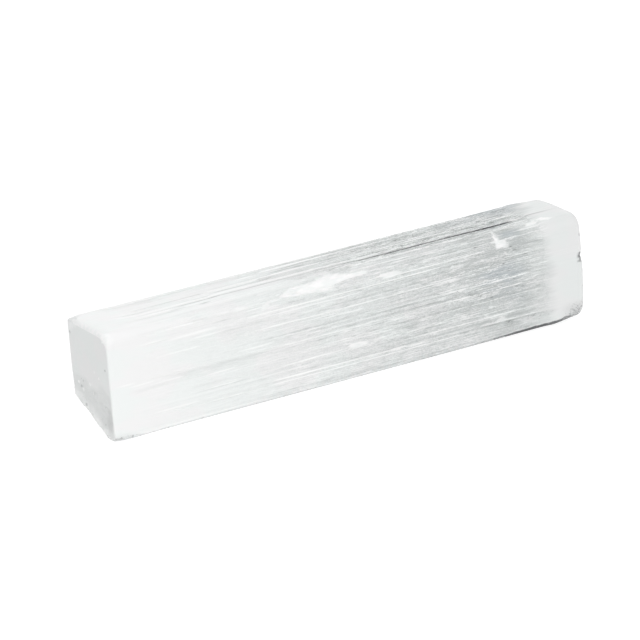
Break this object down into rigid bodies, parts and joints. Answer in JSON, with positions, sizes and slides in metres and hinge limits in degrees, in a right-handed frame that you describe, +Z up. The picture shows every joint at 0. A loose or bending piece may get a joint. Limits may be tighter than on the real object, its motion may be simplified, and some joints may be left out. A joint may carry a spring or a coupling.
{
  "type": "selenite wand",
  "caption": "Bar of white fibrous selenite with flat sides, lengthwise ridges, one chipped end and one rubbed end, which lies on its narrow long side.",
  "frame": {"origin": "the middle of the base, on the surface that the bar lies on", "axes": "+X along the fibres from the chipped end to the rubbed end, +Y from the broad front face to the back, +Z up"},
  "size_m": [0.15, 0.023, 0.0306],
  "materials": {
    "selenite": "milky satin spar, silky along its fibres, smooth and matt at the rubbed end, hackly at the chipped end"
  },
  "bodies": {
    "root": {"selenite_wand": "selenite"}
  },
  "joints": []
}
